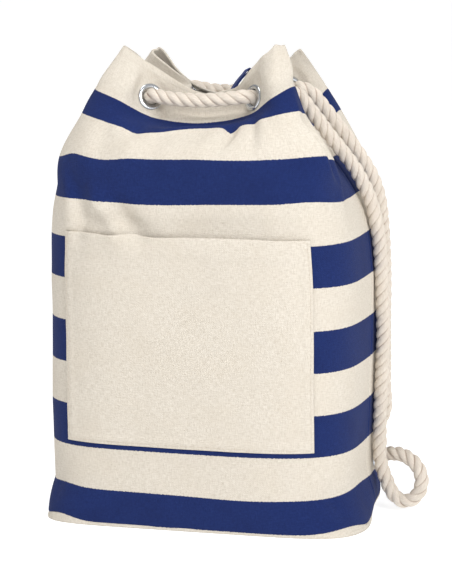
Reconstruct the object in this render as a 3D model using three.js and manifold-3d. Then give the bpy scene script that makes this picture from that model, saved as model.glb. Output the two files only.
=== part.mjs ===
// A striped canvas duffel sack with a drawn mouth, eyelets and one three-strand rope that
// closes the mouth and hangs down the right side as a doubled sling.
// Millimetres, +Z up, front towards -Y. The origin is on the ground under the middle of the wall.
import * as THREE from 'three';
import { mergeVertices } from 'three/addons/utils/BufferGeometryUtils.js';
import Module from 'manifold-3d';

const wasm = await Module();
wasm.setup();

// ---------------------------------------------------------------- driving dimensions
const HALF_WIDTH = 149;        // half of the wall's width, at the foot
const HALF_DEPTH = 115;        // half of the wall's depth, at the foot
const SQUARENESS = 4;          // superellipse exponent of the wall's outline
const FOOT_SQUARER = 3;        // added to the exponent at the foot
const BARREL = 3;              // how far the wall swells at mid height
const LEFT_DRAW = 0.02;        // share by which the left half is drawn in above the foot
const TUCK = 1.5;              // how far the foot of the wall turns under
const FLARE = 15;              // how far the front right corner of the foot spreads
const FLARE_PLACE = 185;       // where that is round the sack
const FLARE_REACH = 55;        // how far round the sack it spreads to either side
const FOOT = 40;               // cloth height of the turned-under band
const FOOT_RISE = 35;          // height above the ground of that band's upper edge
const GIRTH = 992;             // cloth length once round the sack
const WALL_TOP = 238;          // cloth height where the plain wall ends
const SWELL = 318;             // cloth height over which the wall swells and narrows again
const MOUTH_EDGE = 498;        // cloth height of the mouth's edge
const CANVAS = 2;              // thickness of the canvas solids
const SEAM_GAP = 0.4;          // gap left between sewn neighbours
const BASE_EASE = 1.6;         // gap between the base and the wall round it
const CENTRE_SHIFT = 5;        // moves everything back, so the origin is under the wall's middle

const POCKET_HALF = 127;       // half of the pocket's width along the cloth
const POCKET_LOW = 85;         // cloth height of the pocket's lower edge
const POCKET_HIGH = 286;       // cloth height of the pocket's upper edge
const POCKET_GAPE = 8;         // how far the pocket stands open at the middle of its upper edge
const POCKET_GAP = 0.9;        // gap under the pocket's sewn edges

const TAPE = 1.2;              // thickness of the hanging loop's tape
const TAPE_WIDTH = 7;
const LOOP_CLOSED = 0.84;      // distance of each side of the loop from its spine where it is shut
const LOOP_SWELL = 4;          // how much further the sides can stand apart, near its tip

const ROPE = 14;               // rope diameter
const ROPE_SIDES = 10;
const BORE = 8;                // eyelet bore radius
const BARREL_WALL = 0.8;       // eyelet barrel wall
const FLANGE = 12.5;           // eyelet flange radius
const EYELET_PLAY = 0.3;       // room left round an eyelet and its washer
const SEAT_REACH = 5;          // how far off the cloth an eyelet's seat is cleared
const FLAT_INNER = 17;         // the cloth is flat this far round an eyelet
const FLAT_OUTER = 30;         // and keeps its own shape beyond this
const EYELET_LEVEL = 463;      // cloth height of the mouth eyelets
const ANCHOR_BACK = 38;        // how far behind the middle the two rope anchors sit
const ANCHOR_LOW = 51;         // heights of the two rope anchors
const ANCHOR_HIGH = 87;
const ROPE_CUT = 9;            // how far outside an eyelet one rope tube meets the next
const ROPE_TAIL = 24;          // how far inside an anchor its stopper knot begins
const KNOT = 15;               // radius of a stopper knot

const EARS = [132, 364, 628, 860];   // places round the cloth of the four ears' folds
const EAR_REACH = 24;          // half of the cloth that each of those folds takes up
const FINE_STEP = 10;          // spacing of the cloth's points over an ear
const WIDE_STEP = 18;          // and elsewhere

// ---------------------------------------------------------------- the gathered mouth
// Cloth columns by distance round the sack from the middle of the front, towards +X. Each ear
// is a fold at one corner, and each valley is where the rope draws the cloth in.
const COLUMNS = [
  0, 58, 96, 132, 165, 205, 248, 291, 331, 364, 400, 438,
  496, 554, 592, 628, 661, 701, 744, 787, 827, 860, 896, 934,
];

// One row of outline points (x, y, z) for each cloth height, in the order of COLUMNS.
const GATHER = new Map([
  [318, [
    [0, -116, 313], [56, -116, 313], [91, -112, 313], [122, -101, 313],
    [138, -76, 312], [139, -40, 311], [137, 0, 310], [138, 40, 311],
    [138, 76, 311], [120, 99, 311], [90, 111, 312], [55, 115, 313],
    [0, 115, 313], [-55, 115, 313], [-89, 111, 312], [-119, 99, 310],
    [-136, 76, 309], [-141, 40, 309], [-141, 0, 309], [-142, -40, 308],
    [-138, -76, 309], [-120, -101, 311], [-90, -112, 312], [-55, -116, 313],
  ]],
  [358, [
    [0, -115, 353], [56, -115, 353], [94, -110, 355], [126, -98, 357],
    [131, -68, 350], [119, -36, 345], [114, 0, 344], [118, 36, 344],
    [128, 62, 345], [121, 78, 345], [95, 96, 348], [58, 106, 351],
    [0, 110, 352], [-58, 107, 351], [-95, 97, 348], [-120, 82, 346],
    [-128, 58, 345], [-124, 34, 344], [-122, 0, 343], [-126, -36, 344],
    [-134, -64, 345], [-128, -86, 347], [-100, -106, 351], [-57, -114, 353],
  ]],
  [398, [
    [9, -88, 377], [56, -90, 384], [82, -95, 393], [102, -86, 396],
    [103, -62, 390], [97, -34, 376], [92, 0, 370], [96, 32, 374],
    [106, 52, 381], [106, 69, 381], [88, 80, 380], [58, 80, 372],
    [2, 78, 364], [-54, 80, 372], [-86, 82, 380], [-108, 72, 384],
    [-111, 50, 384], [-97, 30, 375], [-90, 0, 370], [-98, -32, 376],
    [-110, -56, 387], [-108, -82, 388], [-82, -98, 383], [-46, -97, 374],
  ]],
  [438, [
    [8, -72, 382], [52, -69, 391], [76, -88, 408], [93, -80, 418],
    [91, -58, 413], [75, -36, 391], [68, 0, 386], [72, 32, 389],
    [95, 46, 402], [95, 59, 402], [76, 65, 398], [50, 67, 386],
    [2, 63, 378], [-48, 67, 386], [-74, 66, 396], [-94, 54, 405],
    [-88, 38, 398], [-68, 29, 384], [-66, 0, 382], [-72, -31, 389],
    [-96, -54, 409], [-97, -76, 410], [-72, -86, 402], [-46, -70, 386],
  ]],
  [463, [
    [3, -48, 394], [52, -62, 405], [67, -82, 421], [88, -76, 429],
    [82, -54, 424], [70, -34, 405], [60, 0, 396], [66, 32, 404],
    [84, 41, 418], [88, 50, 416], [70, 57, 410], [44, 58, 395],
    [2, 52, 387], [-42, 58, 395], [-66, 57, 408], [-86, 46, 419],
    [-77, 35, 411], [-58, 29, 394], [-57, 0, 391], [-66, -30, 404],
    [-86, -50, 420], [-90, -70, 424], [-63, -80, 417], [-47, -62, 403],
  ]],
  [498, [
    [2, -40, 404], [49, -57, 432], [62, -60, 446], [76, -48, 453],
    [74, -34, 448], [66, -30, 430], [50, 0, 405], [62, 28, 427],
    [70, 30, 437], [76, 32, 441], [62, 43, 429], [38, 50, 408],
    [2, 46, 396], [-34, 50, 404], [-53, 45, 420], [-70, 33, 441],
    [-56, 31, 422], [-36, 38, 404], [-46, 2, 402], [-61, -27, 428],
    [-69, -40, 441], [-76, -54, 449], [-64, -60, 443], [-48, -57, 432],
  ]],
]);

// ---------------------------------------------------------------- rope routes
// The front strand of the sling, from the low anchor, round the free bight and up to the front
// eyelet of the right side.
const FRONT_STRAND = [
  [160.5, 34.5, 51.5], [168, 31, 53], [177, 27, 53.5],
  [186, 23, 51], [194.5, 20, 44.5], [199, 19, 34], [198, 18, 22], [191, 17, 12.5],
  [181, 16, 10.5], [172, 16, 17], [165, 16, 31], [159.5, 16, 48], [158.4, 16, 69], [158.6, 16, 94],
  [160, 15, 128], [161.5, 13, 168], [161, 11, 207], [160, 9, 236], [158.5, 7, 260], [155.5, 5, 282],
  [151, 2, 302], [144.5, -2, 319], [136.5, -6, 335], [127, -10, 349], [115.5, -16, 365],
  [105.5, -21, 380], [97, -25, 392], [90, -27, 401.5],
];
// The back strand, from the back eyelet of the right side down to the high anchor.
const BACK_STRAND = [
  [90, 22, 400], [97, 23, 391.5], [109, 24.5, 376.5], [123.5, 24.5, 358.5], [136, 25, 341],
  [147, 25, 323], [153, 26, 305], [156, 27, 286], [158, 28, 256], [159, 28, 233], [159, 29, 204],
  [159, 30, 165], [159.2, 30.5, 142], [159, 31.5, 121], [159.8, 33.2, 105], [159, 35, 94.5],
];

// The spine of the tape loop inside the back of the mouth, and the way its tape faces.
const LOOP_SPINE = [[0, 40.2, 389.5], [5.5, 42, 400.5], [11.5, 44, 410], [20.5, 46, 419.5]];
const LOOP_TURN = [0.72, -0.6, 0.34];

// ---------------------------------------------------------------- curve helpers
function slope(before, here, after, gapBefore, gapAfter) {
  const into = here.clone().sub(before).divideScalar(gapBefore);
  const outOf = after.clone().sub(here).divideScalar(gapAfter);
  return into.multiplyScalar(gapAfter).add(outOf.multiplyScalar(gapBefore))
    .divideScalar(gapBefore + gapAfter);
}

function hermite(start, end, startSlope, endSlope, t) {
  return start.clone().multiplyScalar(2 * t ** 3 - 3 * t ** 2 + 1)
    .addScaledVector(startSlope, t ** 3 - 2 * t ** 2 + t)
    .addScaledVector(end, -2 * t ** 3 + 3 * t ** 2)
    .addScaledVector(endSlope, t ** 3 - t ** 2);
}

const wrap = (value, size) => ((value % size) + size) % size;

const toVectors = (points) => points.map((point) => new THREE.Vector3(...point));

// The shorter way round the sack from one place on the cloth to another.
const aroundGap = (from, to) => wrap(to - from + GIRTH / 2, GIRTH) - GIRTH / 2;

// ---------------------------------------------------------------- the sack's outline
// Points once round a superellipse from the front's middle, with the length run so far.
function outlineTable(halfWidth, halfDepth, squareness) {
  const steps = 720;
  const power = 2 / squareness;
  const points = [];
  for (let i = 0; i <= steps; i += 1) {
    const angle = -Math.PI / 2 + (2 * Math.PI * i) / steps;
    const across = Math.cos(angle);
    const along = Math.sin(angle);
    points.push(new THREE.Vector2(
      halfWidth * Math.sign(across) * Math.abs(across) ** power,
      halfDepth * Math.sign(along) * Math.abs(along) ** power,
    ));
  }
  const lengths = [0];
  for (let i = 1; i <= steps; i += 1) {
    lengths.push(lengths[i - 1] + points[i].distanceTo(points[i - 1]));
  }
  return { points, lengths };
}

const outlines = new Map();

function outlinePoint(halfWidth, halfDepth, squareness, around) {
  const key = [halfWidth, halfDepth, squareness].map((size) => size.toFixed(3)).join(' ');
  if (!outlines.has(key)) outlines.set(key, outlineTable(halfWidth, halfDepth, squareness));
  const { points, lengths } = outlines.get(key);
  const target = (wrap(around, GIRTH) / GIRTH) * lengths[lengths.length - 1];
  let i = 1;
  while (lengths[i] < target) i += 1;
  const t = (target - lengths[i - 1]) / (lengths[i] - lengths[i - 1]);
  return points[i - 1].clone().lerp(points[i], t);
}

// The plain wall below the gathered part. Its foot is squarer, turns under a little and spreads
// at the front right corner.
function wallPoint(around, height) {
  const low = Math.max(0, 1 - height / FOOT);
  const up = Math.max(0, (height - FOOT) / SWELL);
  const out = BARREL * Math.sin(Math.PI * up) - TUCK * low ** 2;
  const z = height < FOOT ? (FOOT_RISE * height) / FOOT : height + FOOT_RISE - FOOT;
  const flat = outlinePoint(
    HALF_WIDTH + out, HALF_DEPTH + out, SQUARENESS + FOOT_SQUARER * low, around,
  );
  const draw = flat.x < 0 ? LEFT_DRAW * (1 - low) : 0;
  const flare = FLARE * low * Math.exp(-((aroundGap(FLARE_PLACE, around) / FLARE_REACH) ** 2));
  return new THREE.Vector3(flat.x * (1 - draw) + flare, flat.y, z);
}

function gatherPoint(around, height) {
  const row = GATHER.get(height);
  const count = COLUMNS.length;
  const place = wrap(around, GIRTH);
  let i = count - 1;
  while (COLUMNS[i] > place) i -= 1;
  const column = (k) => COLUMNS[wrap(k, count)] + GIRTH * Math.floor(k / count);
  const point = (k) => new THREE.Vector3(...row[wrap(k, count)]);
  const slopeAt = (k) => slope(
    point(k - 1), point(k), point(k + 1), column(k) - column(k - 1), column(k + 1) - column(k),
  );
  const span = column(i + 1) - column(i);
  return hermite(
    point(i), point(i + 1),
    slopeAt(i).multiplyScalar(span), slopeAt(i + 1).multiplyScalar(span),
    (place - column(i)) / span,
  );
}

const LEVELS = [180, WALL_TOP, ...GATHER.keys()];

// The cloth's outer face before the eyelets press it flat.
function drapedPoint(around, height) {
  if (height <= WALL_TOP) return wallPoint(around, height);
  const at = (k) => (GATHER.has(LEVELS[k]) ? gatherPoint(around, LEVELS[k])
    : wallPoint(around, LEVELS[k]));
  let k = LEVELS.length - 2;
  while (LEVELS[k] > height) k -= 1;
  const span = LEVELS[k + 1] - LEVELS[k];
  const slopeAt = (j) => (j === LEVELS.length - 1
    ? at(j).sub(at(j - 1)).divideScalar(LEVELS[j] - LEVELS[j - 1])
    : slope(at(j - 1), at(j), at(j + 1), LEVELS[j] - LEVELS[j - 1], LEVELS[j + 1] - LEVELS[j]));
  return hermite(
    at(k), at(k + 1),
    slopeAt(k).multiplyScalar(span), slopeAt(k + 1).multiplyScalar(span),
    (height - LEVELS[k]) / span,
  );
}

function faceNormal(surface, around, height) {
  const step = 1;
  const top = Math.min(height + step, MOUTH_EDGE);
  const low = Math.max(height - step, 0);
  const along = surface(around + step, height).sub(surface(around - step, height));
  const up = surface(around, top).sub(surface(around, low));
  return along.cross(up).normalize();
}

// ---------------------------------------------------------------- eyelets
function eyeletFrame(name, around, height) {
  const centre = drapedPoint(around, height);
  const normal = faceNormal(drapedPoint, around, height);
  const turn = new THREE.Quaternion().setFromUnitVectors(new THREE.Vector3(0, 0, 1), normal);
  const matrix = new THREE.Matrix4().compose(centre, turn, new THREE.Vector3(1, 1, 1));
  return { name, around, height, centre, normal, turn, matrix };
}

// The right side's wall is met where the outline reaches this far behind the middle.
const ANCHOR_AROUND = GIRTH / 4 + ANCHOR_BACK;
const EYELETS = [
  eyeletFrame('front_right', 58, EYELET_LEVEL),
  eyeletFrame('right_front', 205, EYELET_LEVEL),
  eyeletFrame('right_back', 291, EYELET_LEVEL),
  eyeletFrame('back_right', 438, EYELET_LEVEL),
  eyeletFrame('back_left', 554, EYELET_LEVEL),
  eyeletFrame('left_back', 701, EYELET_LEVEL),
  eyeletFrame('left_front', 787, EYELET_LEVEL),
  eyeletFrame('front_left', 934, EYELET_LEVEL),
  eyeletFrame('anchor_low', ANCHOR_AROUND, ANCHOR_LOW + FOOT - FOOT_RISE),
  eyeletFrame('anchor_high', ANCHOR_AROUND, ANCHOR_HIGH + FOOT - FOOT_RISE),
];

// A point of the cloth's outer face: around the sack, and up the cloth. Each eyelet presses
// the cloth flat under its flange.
function clothPoint(around, height) {
  const point = drapedPoint(around, height);
  for (const eyelet of EYELETS) {
    const away = Math.hypot(aroundGap(eyelet.around, around), height - eyelet.height);
    if (away < FLAT_OUTER) {
      const flat = 1 - THREE.MathUtils.smoothstep(away, FLAT_INNER, FLAT_OUTER);
      const rise = point.clone().sub(eyelet.centre).dot(eyelet.normal);
      point.addScaledVector(eyelet.normal, -rise * flat);
    }
  }
  return point;
}

const clothNormal = (around, height) => faceNormal(clothPoint, around, height);

// ---------------------------------------------------------------- solids
// A sheet solid between an outer and an inner grid of points, closed round its four edges.
function sheetSolid(outer, inner) {
  const rows = outer.length;
  const columns = outer[0].length;
  const positions = [];
  for (const grid of [outer, inner]) {
    for (const row of grid) for (const point of row) positions.push(point.x, point.y, point.z);
  }
  const id = (face, row, column) => (face * rows + row) * columns + column;
  const index = [];
  const quad = (a, b, c, d) => index.push(a, b, c, a, c, d);
  for (let r = 0; r < rows - 1; r += 1) {
    for (let c = 0; c < columns - 1; c += 1) {
      quad(id(0, r, c), id(0, r, c + 1), id(0, r + 1, c + 1), id(0, r + 1, c));
      quad(id(1, r, c), id(1, r + 1, c), id(1, r + 1, c + 1), id(1, r, c + 1));
    }
  }
  for (let c = 0; c < columns - 1; c += 1) {
    quad(id(0, 0, c), id(1, 0, c), id(1, 0, c + 1), id(0, 0, c + 1));
    quad(id(0, rows - 1, c), id(0, rows - 1, c + 1), id(1, rows - 1, c + 1), id(1, rows - 1, c));
  }
  for (let r = 0; r < rows - 1; r += 1) {
    quad(id(0, r, 0), id(0, r + 1, 0), id(1, r + 1, 0), id(1, r, 0));
    quad(id(0, r, columns - 1), id(1, r, columns - 1), id(1, r + 1, columns - 1),
      id(0, r + 1, columns - 1));
  }
  const geometry = new THREE.BufferGeometry();
  geometry.setAttribute('position', new THREE.Float32BufferAttribute(positions, 3));
  geometry.setIndex(index);
  return geometry;
}

function toManifold(geometry) {
  const bare = geometry.clone();
  bare.deleteAttribute('normal');
  bare.deleteAttribute('uv');
  const merged = mergeVertices(bare, 1e-4);
  return new wasm.Manifold(new wasm.Mesh({
    numProp: 3,
    vertProperties: new Float32Array(merged.attributes.position.array),
    triVerts: new Uint32Array(merged.index.array),
  }));
}

function toGeometry(solid) {
  const mesh = solid.getMesh();
  const geometry = new THREE.BufferGeometry();
  geometry.setAttribute('position', new THREE.Float32BufferAttribute(mesh.vertProperties, 3));
  geometry.setIndex(Array.from(mesh.triVerts));
  return geometry;
}

// A disc or plug with its axis along an eyelet's axis, from depth `low` to depth `high`.
function plug(eyelet, radius, low, high) {
  const geometry = new THREE.CylinderGeometry(radius, radius, high - low, 16);
  geometry.rotateX(Math.PI / 2);
  geometry.translate(0, 0, (low + high) / 2);
  geometry.applyMatrix4(eyelet.matrix);
  return toManifold(geometry);
}

// ---------------------------------------------------------------- eyelet bodies
// A turned ring about Z from its profile (radius, height), run up its outer side.
function ring(profile, segments = 16) {
  const points = [...profile, profile[0]].map(([r, z]) => new THREE.Vector2(r, z));
  const geometry = new THREE.LatheGeometry(points, segments);
  geometry.rotateX(Math.PI / 2);
  return geometry;
}

// The eyelet's own body: a rolled flange outside, a barrel, and a curl that holds the washer.
function flangeGeometry() {
  const barrel = BORE + BARREL_WALL;
  const under = EYELET_PLAY;
  const edge = under + 0.4;
  const crown = under + 1;
  const back = -CANVAS - 2;
  const curl = barrel + 1.4;
  const curlTop = back + 0.6;
  return ring([
    [curl, back], [curl, curlTop], [barrel, curlTop], [barrel, under],
    [FLANGE, under], [FLANGE, edge], [FLANGE - 1.3, crown], [BORE + 1.4, crown], [BORE, edge],
    [BORE, back],
  ]);
}

function washerGeometry() {
  const inside = BORE + BARREL_WALL + EYELET_PLAY;
  const outside = FLANGE - EYELET_PLAY;
  const near = -CANVAS - EYELET_PLAY;
  const far = near - BARREL_WALL;
  return ring([[outside, far], [outside, near], [inside, near], [inside, far]]);
}

// ---------------------------------------------------------------- canvas panels
// Cloth stations: close together over the folds of the ears, wider apart over the flat wall.
function stations(from, to) {
  const places = [];
  let place = from;
  while (place < to - FINE_STEP / 2) {
    places.push(place);
    const isOnEar = EARS.some((ear) => Math.abs(aroundGap(ear, place)) < EAR_REACH);
    place += isOnEar ? FINE_STEP : WIDE_STEP;
  }
  places.push(to);
  return places;
}

// Cloth heights of the panels' rows of points.
const HEIGHTS = [
  0, 16, 40, 110, 180, 238, 280, 318, 338, 358, 378, 398, 418, 438, 463, 480, 498,
];

function isOnPanel(eyelet, from, to) {
  return wrap(eyelet.around - from, GIRTH) < to - from;
}

function wallPanel(from, to) {
  const places = stations(from, to);
  const outer = HEIGHTS.map((height) => places.map((place) => clothPoint(place, height)));
  const inner = HEIGHTS.map((height, r) => places.map((place, c) => outer[r][c].clone()
    .addScaledVector(clothNormal(place, height), -CANVAS)));
  for (const c of places.keys()) inner[0][c].z = 0;
  let solid = toManifold(sheetSolid(outer, inner));
  const hole = BORE + BARREL_WALL + EYELET_PLAY;
  const seat = FLANGE + EYELET_PLAY;
  for (const eyelet of EYELETS.filter((each) => isOnPanel(each, from, to))) {
    solid = solid.subtract(plug(eyelet, seat, 0, SEAT_REACH))
      .subtract(plug(eyelet, seat, -CANVAS - SEAT_REACH, -CANVAS))
      .add(plug(eyelet, seat + SEAM_GAP, -CANVAS, 0))
      .subtract(plug(eyelet, hole, -CANVAS - SEAT_REACH, SEAT_REACH));
  }
  return toGeometry(solid);
}

function basePanel() {
  const inset = CANVAS + BASE_EASE;
  const outline = [];
  for (let i = 0; i < 64; i += 1) {
    const point = clothPoint((GIRTH * i) / 64, 0);
    const normal = clothNormal((GIRTH * i) / 64, 4);
    const out = new THREE.Vector2(normal.x, normal.y).normalize();
    outline.push(new THREE.Vector2(point.x, point.y).addScaledVector(out, -inset));
  }
  return new THREE.ExtrudeGeometry(new THREE.Shape(outline), {
    depth: CANVAS, bevelEnabled: false, steps: 1,
  });
}

// The patch pocket: sewn down at its sides and foot, a little open along its upper edge.
function pocketPanel() {
  const places = [];
  for (let i = 0; i <= 20; i += 1) places.push(POCKET_HALF * (i / 10 - 1));
  const heights = [];
  for (let i = 0; i <= 10; i += 1) {
    heights.push(POCKET_LOW + (POCKET_HIGH - POCKET_LOW) * (i / 10));
  }
  const gap = (place, height) => {
    const across = 1 - (place / POCKET_HALF) ** 4;
    const up = (height - POCKET_LOW) / (POCKET_HIGH - POCKET_LOW);
    return POCKET_GAP + POCKET_GAPE * across * up ** 0.8;
  };
  const layer = (extra) => heights.map((height) => places.map((place) => clothPoint(place, height)
    .addScaledVector(clothNormal(place, height), gap(place, height) + extra)));
  return sheetSolid(layer(CANVAS), layer(0));
}

// ---------------------------------------------------------------- hanging loop
// One tape from the root up one side, round the tip and back down the other side.
function loopGeometry() {
  const spine = new THREE.CatmullRomCurve3(toVectors(LOOP_SPINE));
  const across = new THREE.Vector3(...LOOP_TURN).normalize();
  const steps = 40;
  const path = [];
  for (let i = 1; i < steps; i += 1) {
    const turn = (2 * Math.PI * i) / steps;
    const up = (1 - Math.cos(turn)) / 2;
    const apart = LOOP_CLOSED + LOOP_SWELL * Math.abs(Math.sin(turn)) * Math.sin(turn / 2) ** 24;
    const sideways = across.clone().cross(spine.getTangentAt(up)).normalize();
    const side = Math.sign(steps / 2 - i);
    path.push(spine.getPointAt(up).addScaledVector(sideways, side * apart));
  }
  const normals = path.map((point, i) => {
    const along = path[Math.min(i + 1, path.length - 1)].clone().sub(path[Math.max(i - 1, 0)]);
    return along.cross(across).normalize();
  });
  const edge = (width, lift) => path.map((point, i) => point.clone()
    .addScaledVector(across, width).addScaledVector(normals[i], lift));
  const layer = (lift) => [edge(-TAPE_WIDTH / 2, lift), edge(TAPE_WIDTH / 2, lift)];
  return sheetSolid(layer(TAPE / 2), layer(-TAPE / 2));
}

// ---------------------------------------------------------------- rope
function ropeTube(points, steps) {
  const section = new THREE.Shape();
  for (let i = 0; i < ROPE_SIDES; i += 1) {
    const angle = (2 * Math.PI * i) / ROPE_SIDES;
    const corner = [Math.cos(angle) * ROPE / 2, Math.sin(angle) * ROPE / 2];
    if (i === 0) section.moveTo(...corner);
    else section.lineTo(...corner);
  }
  section.closePath();
  return new THREE.ExtrudeGeometry(section, {
    steps,
    bevelEnabled: false,
    extrudePath: new THREE.CatmullRomCurve3(points, false, 'centripetal'),
  });
}

const named = Object.fromEntries(EYELETS.map((eyelet) => [eyelet.name, eyelet]));

// Points of the rope along an eyelet's axis at the given distances outside the cloth.
function through(name, distances) {
  const { centre, normal } = named[name];
  return distances.map((distance) => centre.clone().addScaledVector(normal, distance));
}

// The line that closes the mouth: outside across each side, inside behind each ear.
function mouthLine() {
  const inward = [7, -2, -9];
  const outward = [-9, -2, 7];
  return [
    ...through('right_front', [ROPE_CUT, 3, -3, -9]),
    ...through('front_right', outward),
    ...toVectors([[36, -71, 405], [4, -72, 402], [-26, -71, 403]]),
    ...through('front_left', inward),
    ...through('left_front', outward),
    ...toVectors([[-76, -2, 403]]),
    ...through('left_back', inward),
    ...through('back_left', outward),
    ...toVectors([[-22, 69, 396], [2, 68, 396], [24, 69, 396]]),
    ...through('back_right', inward),
    ...through('right_back', [-9, -3, 3, ROPE_CUT]),
  ];
}

function frontStrand() {
  return [
    ...through('anchor_low', [-ROPE_TAIL, -16, -8, 0, 6]),
    ...toVectors(FRONT_STRAND),
    ...through('right_front', [ROPE_CUT + 6, ROPE_CUT + SEAM_GAP]),
  ];
}

function backStrand() {
  return [
    ...through('right_back', [ROPE_CUT + SEAM_GAP, ROPE_CUT + 6]),
    ...toVectors(BACK_STRAND),
    ...through('anchor_high', [5, 0, -8, -16, -ROPE_TAIL]),
  ];
}

function knotGeometry() {
  const profile = [];
  for (let i = 0; i <= 12; i += 1) {
    const angle = -Math.PI / 2 + (Math.PI * i) / 12;
    const waist = 1 + 0.12 * Math.cos(4 * angle);
    profile.push(new THREE.Vector2(Math.abs(KNOT * waist * Math.cos(angle)), KNOT * Math.sin(angle)));
  }
  profile[0].x = 0;
  profile[12].x = 0;
  const geometry = new THREE.LatheGeometry(profile, 18);
  geometry.rotateZ(Math.PI / 2);
  return geometry;
}

// ---------------------------------------------------------------- assembly
const NAVY = 0x26377a;
const NATURAL = 0xeee5d4;
const COTTON = 0xf0e5d6;
const NICKEL = 0xb9c2cc;

const sack = new THREE.Group();
sack.position.y = CENTRE_SHIFT;

function addMesh(name, geometry, color, metalness = 0, roughness = 0.9) {
  const material = new THREE.MeshStandardMaterial({ color, metalness, roughness });
  const mesh = new THREE.Mesh(geometry, material);
  mesh.name = name;
  sack.add(mesh);
  return mesh;
}

const SIDE = GIRTH / 4;
const SEAM = SEAM_GAP / 2;
addMesh('front_panel', wallPanel(-SIDE + SEAM, SIDE - SEAM), NAVY);
addMesh('back_panel', wallPanel(SIDE + SEAM, 3 * SIDE - SEAM), NAVY);
addMesh('base_panel', basePanel(), NATURAL);
addMesh('pocket_panel', pocketPanel(), NATURAL);
addMesh('hanging_loop', loopGeometry(), NAVY);

for (const eyelet of EYELETS) {
  for (const [kind, geometry] of [['eyelet', flangeGeometry()], ['washer', washerGeometry()]]) {
    const mesh = addMesh(`${kind}_${eyelet.name}`, geometry, NICKEL, 1, 0.25);
    mesh.position.copy(eyelet.centre);
    mesh.quaternion.copy(eyelet.turn);
  }
}

addMesh('rope_front_strand', ropeTube(frontStrand(), 56), COTTON);
addMesh('rope_mouth_line', ropeTube(mouthLine(), 72), COTTON);
addMesh('rope_back_strand', ropeTube(backStrand(), 36), COTTON);
for (const level of ['low', 'high']) {
  const knot = addMesh(`knot_${level}`, knotGeometry(), COTTON);
  knot.position.copy(through(`anchor_${level}`, [-ROPE_TAIL - SEAM_GAP - KNOT])[0]);
}

export default sack;
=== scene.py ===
"""A striped canvas duffel sack with a drawn mouth, closed and slung by one cotton rope.

Sizes are in millimetres until a mesh is made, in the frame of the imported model: +Z up, the
pocket towards -Y. Places on the cloth are (around, height): the distance round the sack from the
middle of the front towards +X, and the distance up the cloth.
"""
import math

import bpy
import numpy as np
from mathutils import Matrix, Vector


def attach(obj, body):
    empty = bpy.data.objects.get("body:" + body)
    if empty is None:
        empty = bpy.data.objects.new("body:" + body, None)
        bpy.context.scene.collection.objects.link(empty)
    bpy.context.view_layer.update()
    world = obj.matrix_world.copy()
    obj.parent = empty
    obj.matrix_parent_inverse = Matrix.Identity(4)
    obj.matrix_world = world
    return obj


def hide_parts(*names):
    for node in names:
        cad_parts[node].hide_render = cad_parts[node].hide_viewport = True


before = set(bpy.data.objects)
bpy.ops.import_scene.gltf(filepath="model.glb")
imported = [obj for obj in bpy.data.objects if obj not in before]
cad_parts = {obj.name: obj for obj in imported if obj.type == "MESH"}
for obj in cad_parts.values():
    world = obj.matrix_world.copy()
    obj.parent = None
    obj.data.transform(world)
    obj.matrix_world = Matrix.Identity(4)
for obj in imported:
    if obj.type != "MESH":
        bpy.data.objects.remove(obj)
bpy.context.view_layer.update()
MM = 0.001

# ---------------------------------------------------------------- sizes shared with the CAD model
HALF_WIDTH, HALF_DEPTH = 149, 115
SQUARENESS, FOOT_SQUARER = 4, 3
BARREL = 3
LEFT_DRAW = 0.02
TUCK = 1.5
FLARE, FLARE_PLACE, FLARE_REACH = 15, 185, 55
FOOT, FOOT_RISE = 40, 35
GIRTH = 992
WALL_TOP = 238
SWELL = 318
MOUTH_EDGE = 498
CENTRE_SHIFT = 5
POCKET_HALF, POCKET_LOW, POCKET_HIGH = 127, 85, 286
ROPE = 14
BORE, FLANGE = 8, 12.5
FLAT_INNER, FLAT_OUTER = 17, 30
EYELET_LEVEL = 463
ANCHOR_BACK, ANCHOR_LOW, ANCHOR_HIGH = 38, 51, 87
ROPE_CUT, ROPE_TAIL = 9, 24
SIDE = GIRTH / 4

COLUMNS = [
    0, 58, 96, 132, 165, 205, 248, 291, 331, 364, 400, 438,
    496, 554, 592, 628, 661, 701, 744, 787, 827, 860, 896, 934,
]
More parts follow.
